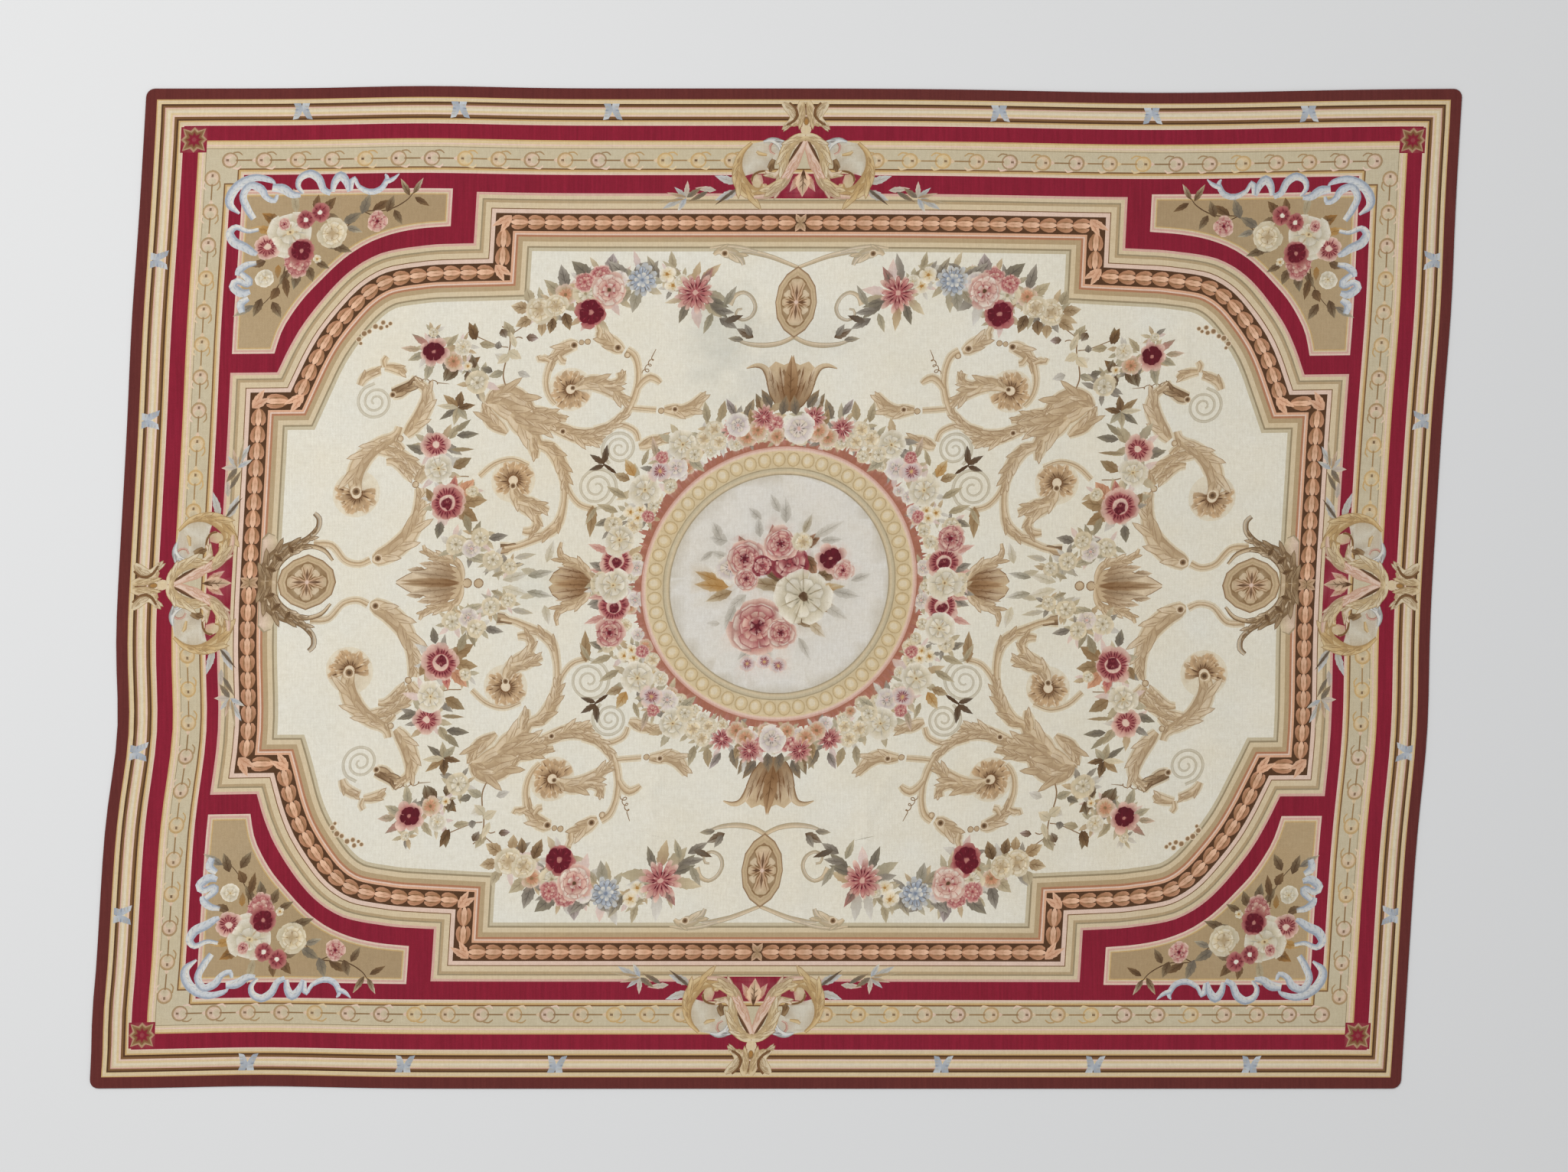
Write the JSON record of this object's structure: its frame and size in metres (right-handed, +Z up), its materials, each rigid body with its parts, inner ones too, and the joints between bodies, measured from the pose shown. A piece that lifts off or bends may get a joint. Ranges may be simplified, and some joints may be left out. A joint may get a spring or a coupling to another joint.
{
  "type": "aubusson rug",
  "caption": "Flat-woven rectangular rug, laid flat, slightly out of square, with soft low creases; a plain woven edge band runs round it.",
  "frame": {"origin": "middle of the rug's bounding box, on the underside where it rests on the floor", "axes": "+X along the long sides, +Y across the rug towards its far long side, +Z up out of the woven face"},
  "size_m": [3.8184, 2.791, 0.0072],
  "materials": {
    "woven_wool": "matt ribbed wool tapestry weave in cream, gold, tan, rose and crimson"
  },
  "bodies": {
    "root": {"woven_cloth": "woven_wool"}
  },
  "joints": []
}
